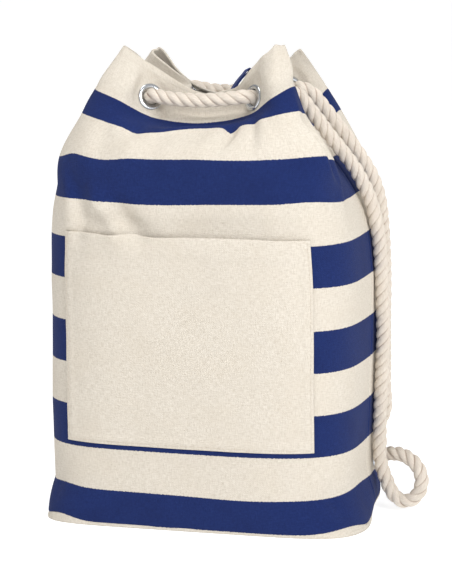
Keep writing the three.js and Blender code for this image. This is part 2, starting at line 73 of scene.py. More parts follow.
# One row of outline points (x, y, z) for each cloth height, in the order of COLUMNS.
GATHER = {
    318: [
        (0, -116, 313), (56, -116, 313), (91, -112, 313), (122, -101, 313),
        (138, -76, 312), (139, -40, 311), (137, 0, 310), (138, 40, 311),
        (138, 76, 311), (120, 99, 311), (90, 111, 312), (55, 115, 313),
        (0, 115, 313), (-55, 115, 313), (-89, 111, 312), (-119, 99, 310),
        (-136, 76, 309), (-141, 40, 309), (-141, 0, 309), (-142, -40, 308),
        (-138, -76, 309), (-120, -101, 311), (-90, -112, 312), (-55, -116, 313),
    ],
    358: [
        (0, -115, 353), (56, -115, 353), (94, -110, 355), (126, -98, 357),
        (131, -68, 350), (119, -36, 345), (114, 0, 344), (118, 36, 344),
        (128, 62, 345), (121, 78, 345), (95, 96, 348), (58, 106, 351),
        (0, 110, 352), (-58, 107, 351), (-95, 97, 348), (-120, 82, 346),
        (-128, 58, 345), (-124, 34, 344), (-122, 0, 343), (-126, -36, 344),
        (-134, -64, 345), (-128, -86, 347), (-100, -106, 351), (-57, -114, 353),
    ],
    398: [
        (9, -88, 377), (56, -90, 384), (82, -95, 393), (102, -86, 396),
        (103, -62, 390), (97, -34, 376), (92, 0, 370), (96, 32, 374),
        (106, 52, 381), (106, 69, 381), (88, 80, 380), (58, 80, 372),
        (2, 78, 364), (-54, 80, 372), (-86, 82, 380), (-108, 72, 384),
        (-111, 50, 384), (-97, 30, 375), (-90, 0, 370), (-98, -32, 376),
        (-110, -56, 387), (-108, -82, 388), (-82, -98, 383), (-46, -97, 374),
    ],
    438: [
        (8, -72, 382), (52, -69, 391), (76, -88, 408), (93, -80, 418),
        (91, -58, 413), (75, -36, 391), (68, 0, 386), (72, 32, 389),
        (95, 46, 402), (95, 59, 402), (76, 65, 398), (50, 67, 386),
        (2, 63, 378), (-48, 67, 386), (-74, 66, 396), (-94, 54, 405),
        (-88, 38, 398), (-68, 29, 384), (-66, 0, 382), (-72, -31, 389),
        (-96, -54, 409), (-97, -76, 410), (-72, -86, 402), (-46, -70, 386),
    ],
    463: [
        (3, -48, 394), (52, -62, 405), (67, -82, 421), (88, -76, 429),
        (82, -54, 424), (70, -34, 405), (60, 0, 396), (66, 32, 404),
        (84, 41, 418), (88, 50, 416), (70, 57, 410), (44, 58, 395),
        (2, 52, 387), (-42, 58, 395), (-66, 57, 408), (-86, 46, 419),
        (-77, 35, 411), (-58, 29, 394), (-57, 0, 391), (-66, -30, 404),
        (-86, -50, 420), (-90, -70, 424), (-63, -80, 417), (-47, -62, 403),
    ],
    498: [
        (2, -40, 404), (49, -57, 432), (62, -60, 446), (76, -48, 453),
        (74, -34, 448), (66, -30, 430), (50, 0, 405), (62, 28, 427),
        (70, 30, 437), (76, 32, 441), (62, 43, 429), (38, 50, 408),
        (2, 46, 396), (-34, 50, 404), (-53, 45, 420), (-70, 33, 441),
        (-56, 31, 422), (-36, 38, 404), (-46, 2, 402), (-61, -27, 428),
        (-69, -40, 441), (-76, -54, 449), (-64, -60, 443), (-48, -57, 432),
    ],
}

# The rope's routes outside the sack, in metres.
FRONT_STRAND = [
    (0.1605, 0.0345, 0.0515), (0.168, 0.031, 0.053), (0.177, 0.027, 0.0535), (0.186, 0.023, 0.051),
    (0.1945, 0.020, 0.0445), (0.199, 0.019, 0.034), (0.198, 0.018, 0.022), (0.191, 0.017, 0.0125),
    (0.181, 0.016, 0.0105), (0.172, 0.016, 0.017), (0.165, 0.016, 0.031), (0.1595, 0.016, 0.048),
    (0.1584, 0.016, 0.069), (0.1586, 0.016, 0.094), (0.160, 0.015, 0.128), (0.1615, 0.013, 0.168),
    (0.161, 0.011, 0.207), (0.160, 0.009, 0.236), (0.1585, 0.007, 0.260), (0.1555, 0.005, 0.282),
    (0.151, 0.002, 0.302), (0.1445, -0.002, 0.319), (0.1365, -0.006, 0.335), (0.127, -0.010, 0.349),
    (0.1155, -0.016, 0.365), (0.1055, -0.021, 0.380), (0.097, -0.025, 0.392), (0.090, -0.027, 0.4015),
]
BACK_STRAND = [
    (0.090, 0.022, 0.400), (0.097, 0.023, 0.3915), (0.109, 0.0245, 0.3765), (0.1235, 0.0245, 0.3585),
    (0.136, 0.025, 0.341), (0.147, 0.025, 0.323), (0.153, 0.026, 0.305), (0.156, 0.027, 0.286),
    (0.158, 0.028, 0.256), (0.159, 0.028, 0.233), (0.159, 0.029, 0.204), (0.159, 0.030, 0.165),
    (0.1592, 0.0305, 0.142), (0.159, 0.0315, 0.121), (0.1598, 0.0332, 0.105), (0.159, 0.035, 0.0945),
]
FRONT_RUN = [(0.036, -0.071, 0.405), (0.004, -0.072, 0.402), (-0.026, -0.071, 0.403)]
LEFT_RUN = [(-0.076, -0.002, 0.403)]
BACK_RUN = [(-0.022, 0.069, 0.396), (0.002, 0.068, 0.396), (0.024, 0.069, 0.396)]

# ---------------------------------------------------------------- sizes of the finish
CLOTH = 1.3                 # canvas thickness
FACING = 2.6                # thickness where the mouth is faced with a second layer
FACING_LEVEL = 442          # cloth height of the facing's lower edge
HEM_STITCH = 489            # cloth height of the row of stitches under the mouth's edge
STITCH, STITCH_GAP = 3.1, 0.9
THREAD = 0.48
LAY = 30                    # length of one turn of the rope's strands
STRAND_OUT = 3.52           # distance of a strand's centre from the rope's
STRAND_RADIUS = 3.5


# ---------------------------------------------------------------- folds
# Folds and creases: the path across the cloth, the width, and the depth (outwards is positive).
FOLDS = [
    # above the pocket's left end
    ([(-112, 352), (-112, 315), (-110, 288), (-108, 262)], 9, -4.2),
    ([(-98, 340), (-90, 312), (-72, 290), (-62, 270)], 10, 4.4),
    ([(-78, 336), (-64, 310), (-46, 290), (-36, 270)], 10, -4.2),
    ([(-124, 345), (-126, 310), (-128, 280)], 8, 1.6),
    # below the left front eyelet and along the left shoulder
    ([(-98, 404), (-86, 378), (-80, 346)], 9, -3.2),
    ([(-72, 406), (-62, 380), (-54, 348)], 10, 3.0),
    ([(-46, 402), (-36, 380), (-30, 354)], 9, -2.0),
    ([(-92, 350), (-100, 330), (-108, 316)], 7, -1.6),
    # below the right front eyelet
    ([(43, 402), (37, 384), (33, 366)], 4.5, -2.4),
    ([(62, 420), (63, 392), (67, 360)], 6, -2.2),
    ([(76, 420), (76, 392), (80, 352)], 9, 1.6),
    ([(20, 402), (16, 380), (10, 356)], 10, 1.2),
    # the bunch under the front run of the rope
    ([(-44, 449), (-30, 455), (-2, 452), (36, 455), (46, 450)], 5, -3.2),
    ([(-40, 441), (-4, 441), (34, 443)], 6, 1.6),
    # the front's edge folded over the right side
    ([(134, 420), (131, 392), (132, 364), (144, 348), (162, 336)], 5, 2.4),
    ([(150, 412), (146, 384), (145, 362), (156, 346), (174, 332)], 5.5, -3.6),
    ([(178, 348), (176, 330), (172, 312)], 9, 1.6),
    ([(196, 344), (192, 326), (186, 308)], 8, -1.6),
    # the wall behind the pocket's open edge
    ([(-30, 297), (30, 295), (100, 298)], 12, -2.8),
    ([(-120, 300), (-80, 298), (-40, 296)], 10, -4.5),
    ([(-104, 326), (-70, 324), (-36, 320)], 12, 2.5),
    # the corners of the foot
    ([(150, 64), (150, 36), (156, 12)], 9, -1.6),
    ([(-150, 64), (-146, 40), (-140, 14)], 9, -1.6),
    # the right side, the back and the left side
    ([(232, 420), (236, 380), (236, 330)], 9, -2.2),
    ([(300, 420), (310, 380), (314, 340)], 9, -2.5),
    ([(410, 400), (404, 360), (396, 320)], 10, -2.6),
    ([(440, 420), (446, 380), (452, 330)], 9, -2.0),
    ([(560, 410), (574, 372), (590, 336)], 9, -2.4),
    ([(500, 420), (498, 390), (492, 350)], 10, 2.0),
    ([(470, 300), (530, 290), (600, 296)], 16, -1.4),
    ([(660, 400), (668, 352), (676, 300)], 10, -2.4),
    ([(740, 410), (744, 370), (750, 320)], 9, 2.4),
    ([(820, 380), (828, 340), (832, 300)], 10, -2.0),
]

# Places where the cloth is pushed a little, most of them near the mouth's edge: around, height,
# the reach along each, and how far the cloth is moved.
PUSHES = [
    (608, 498, 13, 40, (0.0, 1.5, 4.0)),
    (628, 498, 9, 40, (1.5, 2.5, -3.5)),
    (645, 498, 12, 44, (-6.0, -4.0, 1.0)),
    (106, 474, 18, 26, (4.5, -9.5, 0.0)),
    (36, 498, 14, 30, (0.0, 0.0, -6.5)),
    (114, 498, 9, 14, (0.0, 0.0, 3.5)),
    (138, 474, 13, 24, (5.5, 0.5, 0.0)),
    (136, 386, 12, 12, (-4.5, 1.0, 0.0)),
    (-40, 336, 48, 34, (0.0, 0.0, -3.0)),
    (-20, 316, 95, 18, (0.0, 0.0, -2.4)),
    (125, 320, 26, 18, (0.0, 0.0, 2.2)),
    (34, 395, 7, 12, (0.0, 0.0, -6.8)),
    (-64, 396, 9, 16, (0.0, 0.0, -3.5)),
    (-22, 405, 28, 11, (0.0, 0.0, 2.8)),
    (-10, 428, 26, 12, (0.0, -2.0, -3.2)),
    (-110, 357, 14, 12, (0.0, 0.0, 3.0)),
    (-76, 354, 16, 12, (0.0, 0.0, -2.5)),
    # the back right ear
    (308, 432, 18, 24, (0.0, 0.0, -9.0)),
    (312, 400, 16, 18, (0.0, 0.0, -4.0)),
    # the left side, and the navy band round the foot
    (744, 230, 110, 90, (1.4, 0.0, 0.0)),
    (215, 46, 40, 14, (0.0, 0.0, 4.0)),
    (60, 44, 60, 12, (0.0, 0.0, -2.0)),
    (-135, 46, 20, 14, (0.0, 0.0, 2.5)),
    # the right side of the foot
    (245, 18, 45, 22, (7.5, -1.0, 0.0)),
]


# ---------------------------------------------------------------- curves and rows
def slopes(knots, values):
    """Slopes of a smooth line through uneven knots."""
    gaps = np.diff(knots).reshape(-1, *[1] * (values.ndim - 1))
    rises = np.diff(values, axis=0) / gaps
    inner = (rises[:-1] * gaps[1:] + rises[1:] * gaps[:-1]) / (gaps[:-1] + gaps[1:])
    return np.concatenate([rises[:1], inner, rises[-1:]])


def smooth_values(knots, values, at):
    """Values of the smooth line through the knots, at other places."""
    knots = np.asarray(knots, float)
    at = np.asarray(at, float)
    slope = slopes(knots, values)
    k = np.clip(np.searchsorted(knots, at, side="right") - 1, 0, len(knots) - 2)
    shape = (-1, *[1] * (values.ndim - 1))
    gap = (knots[k + 1] - knots[k]).reshape(shape)
    t = (at - knots[k]).reshape(shape) / gap
    return (
        values[k] * (2 * t**3 - 3 * t**2 + 1)
        + slope[k] * gap * (t**3 - 2 * t**2 + t)
        + values[k + 1] * (3 * t**2 - 2 * t**3)
        + slope[k + 1] * gap * (t**3 - t**2)
    )


def smooth_line(points, step):
    """A centripetal curve through the points, sampled evenly."""
    points = np.asarray(points, float)
    chords = np.linalg.norm(np.diff(points, axis=0), axis=1)
    knots = np.concatenate([[0], np.cumsum(np.sqrt(chords))])
    fine = smooth_values(knots, points, np.linspace(0, knots[-1], 40 * len(points)))
    run = np.concatenate([[0], np.cumsum(np.linalg.norm(np.diff(fine, axis=0), axis=1))])
    even = np.linspace(0, run[-1], max(2, round(run[-1] / step) + 1))
    return np.stack([np.interp(even, run, fine[:, i]) for i in range(3)], axis=1), even


def unit(vectors):
    return vectors / np.maximum(np.linalg.norm(vectors, axis=-1, keepdims=True), 1e-12)


def round_gap(start, end):
    """The shorter way round the sack from start to end."""
    return (end - start + GIRTH / 2) % GIRTH - GIRTH / 2


def smoothstep(low, high, value):
    t = np.clip((value - low) / (high - low), 0, 1)
    return t * t * (3 - 2 * t)


# ---------------------------------------------------------------- the sack's surface
def wall_row(around, height):
    low = max(0, 1 - height / FOOT)
    up = max(0, (height - FOOT) / SWELL)
    out = BARREL * math.sin(math.pi * up) - TUCK * low**2
    z = FOOT_RISE * height / FOOT if height < FOOT else height + FOOT_RISE - FOOT
    angle = np.linspace(-np.pi / 2, 1.5 * np.pi, 1441)
    power = 2 / (SQUARENESS + FOOT_SQUARER * low)
    x = (HALF_WIDTH + out) * np.sign(np.cos(angle)) * np.abs(np.cos(angle)) ** power
    y = (HALF_DEPTH + out) * np.sign(np.sin(angle)) * np.abs(np.sin(angle)) ** power
    run = np.concatenate([[0], np.cumsum(np.hypot(np.diff(x), np.diff(y)))])
    place = (around % GIRTH) / GIRTH * run[-1]
    x, y = np.interp(place, run, x), np.interp(place, run, y)
    flare = FLARE * low * np.exp(-((round_gap(FLARE_PLACE, around) / FLARE_REACH) ** 2))
    x = np.where(x < 0, x * (1 - LEFT_DRAW * (1 - low)), x) + flare
    return np.stack([x, y, np.full(len(around), z)], 1)


def gather_row(around, row):
    columns = np.array(COLUMNS, float)
    net = np.array(row, float)
    knots = np.concatenate([columns[-2:] - GIRTH, columns, columns[:3] + GIRTH])
    net = np.concatenate([net[-2:], net, net[:3]])
    return smooth_values(knots, net, around % GIRTH)


def drape(around, heights):
    """Points of the cloth before the eyelets press it flat, as rows of columns."""
    levels = [180, WALL_TOP, *GATHER]
    net = [wall_row(around, levels[0]), wall_row(around, levels[1])]
    net += [gather_row(around, row) for row in GATHER.values()]
    high = smooth_values(levels, np.array(net), np.maximum(heights, WALL_TOP))
    low = np.array([wall_row(around, min(h, WALL_TOP)) for h in heights])
    points = np.where((heights > WALL_TOP)[:, None, None], high, low)
    for place, level, wide, tall, move in PUSHES:
        away = (round_gap(place, around) / wide) ** 2 + (((heights - level) / tall) ** 2)[:, None]
        points = points + np.exp(-away)[..., None] * move
    return points


def eyelet_at(around, height):
    """The centre of an eyelet and the way it faces."""
    patch = drape(np.array([around - 1.0, around, around + 1]), np.array([height - 1.0, height, height + 1]))
    normal = np.cross(patch[1, 2] - patch[1, 0], patch[2, 1] - patch[0, 1])
    return patch[1, 1], unit(normal)


ANCHOR_AROUND = GIRTH / 4 + ANCHOR_BACK
EYELET_PLACES = {
    "front_right": (58, EYELET_LEVEL),
    "right_front": (205, EYELET_LEVEL),
    "right_back": (291, EYELET_LEVEL),
    "back_right": (438, EYELET_LEVEL),
    "back_left": (554, EYELET_LEVEL),
    "left_back": (701, EYELET_LEVEL),
    "left_front": (787, EYELET_LEVEL),
    "front_left": (934, EYELET_LEVEL),
    "anchor_low": (ANCHOR_AROUND, ANCHOR_LOW + FOOT - FOOT_RISE),
    "anchor_high": (ANCHOR_AROUND, ANCHOR_HIGH + FOOT - FOOT_RISE),
}
EYELETS = {name: eyelet_at(*place) for name, place in EYELET_PLACES.items()}


def ripple(around, height, seed, size):
    """Smooth seeded unevenness between -1 and 1, the same all the way round."""
    across = round(GIRTH / size)
    up = int(560 / size) + 3
    grid = np.random.default_rng(seed).uniform(-1, 1, (up, across))
    u = (around % GIRTH) / GIRTH * across
    v = np.clip(height / size + 1, 0, up - 1.001)
    i, j = np.floor(v).astype(int), np.floor(u).astype(int)
    a, b = smoothstep(0, 1, v - i), smoothstep(0, 1, u - j)
    low = grid[i, j % across] * (1 - b) + grid[i, (j + 1) % across] * b
    high = grid[i + 1, j % across] * (1 - b) + grid[i + 1, (j + 1) % across] * b
    return low * (1 - a) + high * a


def near_path(around, height, path):
    """Distance from each place to a path across the cloth, and how far along it the place is."""
    best = np.full(around.shape, np.inf)
    along = np.zeros(around.shape)
    for i, ((a0, h0), (a1, h1)) in enumerate(zip(path, path[1:])):
        run_a, run_h = a1 - a0, h1 - h0
        off = round_gap(a0, around)
        t = np.clip((off * run_a + (height - h0) * run_h) / (run_a**2 + run_h**2), 0, 1)
        away = np.hypot(off - t * run_a, height - h0 - t * run_h)
        nearer = away < best
        best = np.where(nearer, away, best)
        along = np.where(nearer, (i + t) / (len(path) - 1), along)
    return best, along


def relief(around, height):
    """How far the cloth stands out from its smooth shape."""
    out = 0.9 * ripple(around, height, 3, 62) + 0.35 * ripple(around, height, 5, 23)
    for path, width, depth in FOLDS:
        away, along = near_path(around, height, path)
        out = out + depth * np.exp(-((away / width) ** 2)) * np.sin(np.pi * np.clip(along, 0.06, 0.94))
    for seam in (SIDE, 3 * SIDE):
        away = np.abs(round_gap(seam, around))
        out = out - 0.8 * np.exp(-((away / 1.2) ** 2)) + 0.3 * np.exp(-(((away - 5) / 3) ** 2))
    stitched = np.exp(-(((height - HEM_STITCH) / 1.2) ** 2))
    stitched = stitched + np.exp(-(((height - FACING_LEVEL - 2) / 1.2) ** 2))
    out = out - 0.3 * stitched * (1 + 0.5 * np.sin(2 * np.pi * around / (STITCH + STITCH_GAP)))
    out = out - 0.9 * np.exp(-(((height - seam_rise(around)) / 1.2) ** 2))
    return out


def seam_rise(around):
    """Cloth height of the seam that joins the wall to the turned-up edge of the base."""
    corners = [(158, 30), (364, 24), (628, 24), (860, 24)]
    lift = sum(np.exp(-((round_gap(corner, around) / reach) ** 2)) for corner, reach in corners)
    return 2.6 + 6.8 * lift


def cloth_grid():
    """The fine grid of the cloth's outer face, with its normals."""
    around = -SIDE + 2.0 * np.arange(GIRTH // 2 + 1)
    heights = np.concatenate([
        np.linspace(0, 12, 9)[:-1], np.linspace(12, 300, 110)[:-1], np.linspace(300, 498, 133),
    ])
    places, levels = np.meshgrid(around, heights)
    smooth = drape(around, heights)
    out = relief(places, levels)
    for name, (place, level) in EYELET_PLACES.items():
        centre, normal = EYELETS[name]
        away = np.hypot(round_gap(place, places), levels - level)
        flat = 1 - smoothstep(FLAT_INNER, FLAT_OUTER, away)
        rise = (smooth - centre) @ normal
        smooth = smooth - normal * (rise * flat)[..., None]
        out = out * smoothstep(FLANGE - 2, FLAT_INNER + 2, away)
    out = out * smoothstep(0, 3, levels)
    points = smooth + grid_normals(smooth) * out[..., None]
    return around, heights, points, grid_normals(points)


def grid_normals(points):
    """Outward normals of a grid whose first and last columns are the same place."""
    wide = np.concatenate([points[:, -2:-1], points, points[:, 1:2]], axis=1)
    along = wide[:, 2:] - wide[:, :-2]
    up = np.gradient(points, axis=0)
    return unit(np.cross(along, up))


AROUND, HEIGHTS, CLOTH_POINTS, CLOTH_NORMALS = cloth_grid()


def on_cloth(around, height, lift=0.0):
    """Points at a distance off the cloth's outer face, and the normals there."""
    u = ((np.asarray(around, float) + SIDE) % GIRTH) / 2
    v = np.interp(height, HEIGHTS, np.arange(len(HEIGHTS)))
    j = np.clip(np.floor(u).astype(int), 0, len(AROUND) - 2)
    i = np.clip(np.floor(v).astype(int), 0, len(HEIGHTS) - 2)
    b, a = (u - j)[..., None], (v - i)[..., None]

    def mixed(grid):
        low = grid[i, j] * (1 - b) + grid[i, j + 1] * b
        high = grid[i + 1, j] * (1 - b) + grid[i + 1, j + 1] * b
        return low * (1 - a) + high * a

    normal = unit(mixed(CLOTH_NORMALS))
    return mixed(CLOTH_POINTS) + normal * np.asarray(lift)[..., None], normal


# ---------------------------------------------------------------- meshes
def add_mesh(name, points, faces, uvs=None, materials=(), slots=None, smooth=True, shade=None):
    """Makes a piece from points in millimetres. uvs holds one pair for each point, in metres."""
    mesh = bpy.data.meshes.new(name)
    points = (np.asarray(points, float) + (0, CENTRE_SHIFT, 0)) * MM
    mesh.from_pydata(points.tolist(), [], [tuple(int(i) for i in face) for face in faces])
    for material in materials:
        mesh.materials.append(material)
    loops = np.zeros(len(mesh.loops), np.int32)
    mesh.loops.foreach_get("vertex_index", loops)
    if uvs is not None:
        layer = mesh.uv_layers.new(name="cloth")
        layer.data.foreach_set("uv", np.asarray(uvs, np.float32)[loops].ravel())
    # the "depth" attribute carries how deep each point lies between the rope's strands, for the painted shade
    # in the grooves
    if shade is not None:
        attribute = mesh.attributes.new("depth", "FLOAT", "POINT")
        attribute.data.foreach_set("value", np.asarray(shade, np.float32))
    if slots is not None:
        mesh.polygons.foreach_set("material_index", np.asarray(slots, np.int32))
    mesh.polygons.foreach_set("use_smooth", np.full(len(mesh.polygons), smooth))
    mesh.update()
    piece = bpy.data.objects.new(name, mesh)
    bpy.context.scene.collection.objects.link(piece)
    return piece


def grid_faces(rows, columns, wrap_rows=False, start=0):
    """Quads of a grid of points, facing up where columns run right and rows run up."""
    r = np.arange(rows if wrap_rows else rows - 1)
    c = np.arange(columns - 1)
    r, c = np.meshgrid(r, c, indexing="ij")
    above = (r + 1) % rows
    quads = np.stack([
        r * columns + c, r * columns + c + 1, above * columns + c + 1, above * columns + c,
    ], axis=-1)
    return quads.reshape(-1, 4) + start


def closed_profile(rows):
    """Faces of a closed strip whose rows run up its outside, over its edge and down its inside."""
    count, columns = rows.shape[:2]
    faces = [grid_faces(count, columns, wrap_rows=True)]
    half = np.arange(count // 2 - 1)
    left = np.stack([half, half + 1, count - 2 - half, count - 1 - half], axis=1) * columns
    faces += [left, (left + columns - 1)[:, ::-1]]
    return np.concatenate(faces)


def ride(piece, slot, *nodes):
    if nodes:
        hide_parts(*nodes)
    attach(piece, "root")
    return piece


def turned(profile, segments, centre, normal):
    """Points and faces of a ring turned about an eyelet's axis, from (radius, height) pairs."""
    side = unit(np.cross(normal, (0.0, 0.0, 1.0)))
    up = np.cross(normal, side)
    angle = 2 * np.pi * np.arange(segments) / segments
    spokes = np.cos(angle)[:, None] * side + np.sin(angle)[:, None] * up
    profile = np.asarray(profile, float)
    points = [centre + r * spokes + z * normal for r, z in profile]
    count = len(profile)
    i, j = np.meshgrid(np.arange(count), np.arange(segments), indexing="ij")
    ahead, nextto = (i + 1) % count, (j + 1) % segments
    faces = np.stack([
        i * segments + j, i * segments + nextto, ahead * segments + nextto, ahead * segments + j,
    ], axis=-1).reshape(-1, 4)
    return np.concatenate(points), faces


# ---------------------------------------------------------------- materials
class Shader:
    """A Principled material, with short calls for the nodes that drive it."""

    def __init__(self, name, **settings):
        self.material = bpy.data.materials.new(name)
        self.material.use_nodes = True
        self.tree = self.material.node_tree
        self.surface = self.tree.nodes["Principled BSDF"]
        for socket, value in settings.items():
            self.surface.inputs[socket.replace("_", " ")].default_value = value

    def add(self, kind, inputs=(), output=0, **settings):
        node = self.tree.nodes.new(kind)
        for key, value in settings.items():
            setattr(node, key, value)
        for socket, value in dict(inputs).items():
            if isinstance(value, bpy.types.NodeSocket):
                self.tree.links.new(value, node.inputs[socket])
            else:
                node.inputs[socket].default_value = value
        return node.outputs[output]

    def math(self, operation, first, second=0.0, third=0.0):
        return self.add("ShaderNodeMath", {0: first, 1: second, 2: third}, operation=operation)

    def cloth_place(self):
        place = self.add("ShaderNodeUVMap", uv_map="cloth")
        parts = self.tree.nodes.new("ShaderNodeSeparateXYZ")
        self.tree.links.new(place, parts.inputs[0])
        return place, parts.outputs["X"], parts.outputs["Y"]

    def noise(self, place, stretch, detail=2.0, roughness=0.5):
        """Noise between 0 and 1 with that many features to a metre along each axis."""
        scaled = self.add("ShaderNodeMapping", {0: place, 3: stretch})
        return self.add(
            "ShaderNodeTexNoise", {"Vector": scaled, "Scale": 1.0, "Detail": detail, "Roughness": roughness}
        )

    def between(self, value, low, high, start=0.0, end=1.0):
        return self.add(
            "ShaderNodeMapRange", {0: value, 1: low, 2: high, 3: start, 4: end},
            interpolation_type="SMOOTHSTEP",
        )

    def mix(self, factor, first, second, blend="MIX"):
        node = self.tree.nodes.new("ShaderNodeMix")
        node.data_type = "RGBA"
        node.blend_type = blend
        for index, value in ((0, factor), (6, first), (7, second)):
            if isinstance(value, bpy.types.NodeSocket):
                self.tree.links.new(value, node.inputs[index])
            else:
                node.inputs[index].default_value = value
        return node.outputs[2]

    def bump(self, height, distance, strength=1.0, normal=None):
        inputs = {"Height": height, "Distance": distance, "Strength": strength}
        if normal is not None:
            inputs["Normal"] = normal
        return self.add("ShaderNodeBump", inputs)

    def finish(self, **outputs):
        for socket, value in outputs.items():
            self.tree.links.new(value, self.surface.inputs[socket.replace("_", " ")])
        return self.material


def canvas_detail(shader, place, across, up):
    """Threads, slubs and flecks of a plain-woven canvas."""
    warp = shader.noise(place, (1150, 170, 1), 3)
    weft = shader.noise(place, (170, 1150, 1), 3)
    threads = shader.math("MULTIPLY", shader.math("ADD", warp, weft), 0.5)
    mottle = shader.noise(place, (420, 420, 1), 3, 0.65)
    cloudy = shader.noise(place, (26, 26, 1), 2)
    flecks = shader.between(shader.noise(place, (520, 700, 1), 1), 0.74, 0.80)
    thread_pitch = math.pi / 0.00085
    over = shader.math("SINE", shader.math("MULTIPLY", across, thread_pitch))
    under = shader.math("SINE", shader.math("MULTIPLY", up, thread_pitch))
    weave = shader.math("MULTIPLY", over, under)
    height = shader.math("MULTIPLY_ADD", weave, 0.5, shader.math("MULTIPLY", threads, 2.0))
    height = shader.math("MULTIPLY_ADD", mottle, 1.0, height)
    return threads, mottle, cloudy, flecks, height


def natural_colour(shader, threads, mottle, cloudy, flecks):
    base = shader.mix(
        shader.between(threads, 0.35, 0.65), (0.560, 0.505, 0.425, 1), (0.700, 0.648, 0.568, 1)
    )
    base = shader.mix(shader.between(mottle, 0.3, 0.72, 0.0, 0.35), base, (0.74, 0.692, 0.615, 1))
    base = shader.mix(shader.between(cloudy, 0.35, 0.75, 0.0, 0.20), base, (0.60, 0.53, 0.43, 1))
    return shader.mix(shader.math("MULTIPLY", flecks, 0.6), base, (0.28, 0.19, 0.11, 1))


def navy_colour(shader, threads, mottle, cloudy):
    base = shader.mix(
        shader.between(threads, 0.30, 0.70), (0.0095, 0.0195, 0.090, 1), (0.0135, 0.028, 0.125, 1)
    )
    base = shader.mix(shader.between(mottle, 0.45, 0.8, 0.0, 0.45), base, (0.022, 0.042, 0.165, 1))
    return shader.mix(shader.between(cloudy, 0.4, 0.75, 0.0, 0.3), base, (0.009, 0.016, 0.075, 1))


def striped_canvas(name):
    """Navy and natural bands, by the cloth's height as the bands are numbered in the UV map."""
    shader = Shader(name, Specular_IOR_Level=0.06, Sheen_Weight=0.04, Sheen_Roughness=0.6)
    place, across, up = shader.cloth_place()
    threads, mottle, cloudy, flecks, height = canvas_detail(shader, place, across, up)
    ragged = shader.between(shader.noise(place, (500, 500, 1), 2), 0.2, 0.8, -0.0004, 0.0004)
    level = shader.math("ADD", up, ragged)
    within = shader.math("MODULO", level, 0.08)
    soft = 0.0003
    bands = shader.math(
        "MULTIPLY",
        shader.between(within, 0.0, soft),
        shader.between(within, 0.04 - soft, 0.04 + soft, 1.0, 0.0),
    )
    bands = shader.math("MULTIPLY", bands, shader.between(level, 0.46, 0.4601, 1.0, 0.0))
    bands = shader.math("MULTIPLY", bands, shader.between(level, 0.0, soft))
    natural = natural_colour(shader, threads, mottle, cloudy, flecks)
    navy = navy_colour(shader, threads, mottle, cloudy)
    return shader.finish(
        Base_Color=shader.mix(bands, natural, navy),
        Roughness=shader.between(mottle, 0.2, 0.8, 0.82, 0.98),
        Normal=shader.bump(height, 0.00028, 0.8),
    )


def natural_canvas(name):
    shader = Shader(name, Specular_IOR_Level=0.06, Sheen_Weight=0.04, Sheen_Roughness=0.6)
    place, across, up = shader.cloth_place()
    threads, mottle, cloudy, flecks, height = canvas_detail(shader, place, across, up)
    return shader.finish(
        Base_Color=natural_colour(shader, threads, mottle, cloudy, flecks),
        Roughness=shader.between(mottle, 0.2, 0.8, 0.82, 0.98),
        Normal=shader.bump(height, 0.00028, 0.8),
    )


def cotton_rope(name):
    """Soft twisted cotton, with painted shade that makes it darker and pinker down in the grooves between the
    strands.
    """
    shader = Shader(name, Specular_IOR_Level=0.05, Sheen_Weight=0.08, Sheen_Roughness=0.5)
    place, across, up = shader.cloth_place()
    depth = shader.add("ShaderNodeAttribute", output=2, attribute_name="depth")
    yarn = shader.math("SINE", shader.math("MULTIPLY", across, 2 * math.pi / 0.0011))
    fibres = shader.noise(place, (2600, 260, 1), 3, 0.6)
    fluff = shader.noise(place, (420, 160, 1), 2)
    crest = shader.mix(shader.between(fibres, 0.3, 0.7), (0.72, 0.635, 0.54, 1), (0.90, 0.83, 0.735, 1))
    crest = shader.mix(shader.between(fluff, 0.4, 0.8, 0.0, 0.4), crest, (0.78, 0.675, 0.59, 1))
    # painted shade: the colour turns dark pinkish brown where the surface lies deep between the strands
    colour = shader.mix(shader.between(depth, 0.25, 0.8), crest, (0.32, 0.19, 0.13, 1))
    height = shader.math("MULTIPLY_ADD", yarn, 0.5, shader.math("MULTIPLY", fibres, 1.2))
    return shader.finish(
        Base_Color=colour,
        Roughness=shader.between(fluff, 0.2, 0.8, 0.85, 1.0),
        Normal=shader.bump(height, 0.0005, 0.8),
    )


def nickel(name):
    shader = Shader(name, Metallic=1.0)
    place = shader.add("ShaderNodeTexCoord", output=3)
    scuffs = shader.noise(place, (900, 900, 900), 3)
    colour = shader.mix(
        shader.between(scuffs, 0.35, 0.7), (0.60, 0.63, 0.67, 1), (0.70, 0.72, 0.75, 1)
    )
    return shader.finish(
        Base_Color=colour,
        Roughness=shader.between(scuffs, 0.3, 0.8, 0.10, 0.18),
        Normal=shader.bump(scuffs, 0.00001, 0.3),
    )


def sewing_thread(name):
    shader = Shader(name, Specular_IOR_Level=0.3, Roughness=0.7)
    place = shader.add("ShaderNodeTexCoord", output=3)
    twist = shader.noise(place, (2500, 2500, 2500), 2)
    colour = shader.mix(
        shader.between(twist, 0.3, 0.7), (0.54, 0.47, 0.38, 1), (0.70, 0.64, 0.56, 1)
    )
    return shader.finish(Base_Color=colour, Normal=shader.bump(twist, 0.0001, 0.6))


